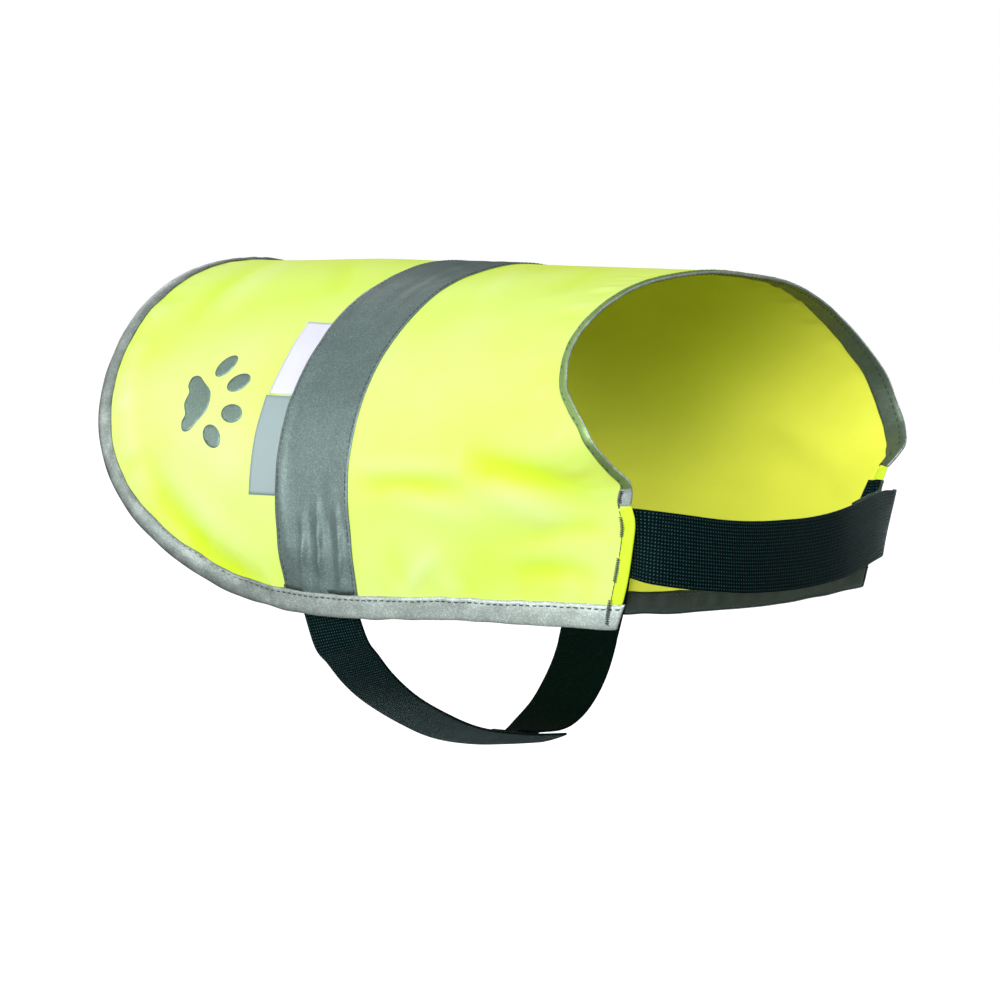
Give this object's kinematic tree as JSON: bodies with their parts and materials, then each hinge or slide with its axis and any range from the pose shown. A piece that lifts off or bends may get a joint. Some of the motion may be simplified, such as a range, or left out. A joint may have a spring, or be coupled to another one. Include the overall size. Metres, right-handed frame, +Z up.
{
  "type": "dog safety vest",
  "caption": "High-visibility dog vest: a cloth back panel worn as an open half tube, with reflective bindings and girth band, and elastic chest and belly straps that lap and close.",
  "frame": {"origin": "inner face of the back panel on the dorsal line, under the middle of the girth band, where the vest rests on the wearer's back", "axes": "+X towards the wearer's head, +Y towards the wearer's left, +Z up"},
  "size_m": [0.4081, 0.3223, 0.287],
  "materials": {
    "vest_cloth": "fluorescent yellow woven polyester, slightly translucent",
    "reflective_tape": "grey reflective tape with a fine sparkle",
    "reflective_binding": "grey reflective binding tape",
    "webbing": "black ribbed elastic",
    "loop_webbing": "black elastic with a brushed loop face",
    "hook_tape": "black hook tape",
    "white_label": "white woven label, bare",
    "grey_label": "pale grey woven label, bare"
  },
  "bodies": {
    "root": {"back_panel": "vest_cloth", "girth_band": "reflective_tape", "hem_binding": "reflective_binding", "neck_binding": "reflective_binding", "chest_strap_right": "webbing", "chest_strap_left": "webbing", "belly_strap_right": "webbing", "belly_strap_left": "loop_webbing", "chest_hook": "hook_tape", "belly_hook": "hook_tape", "label_white": "white_label", "label_grey": "grey_label"}
  },
  "joints": []
}
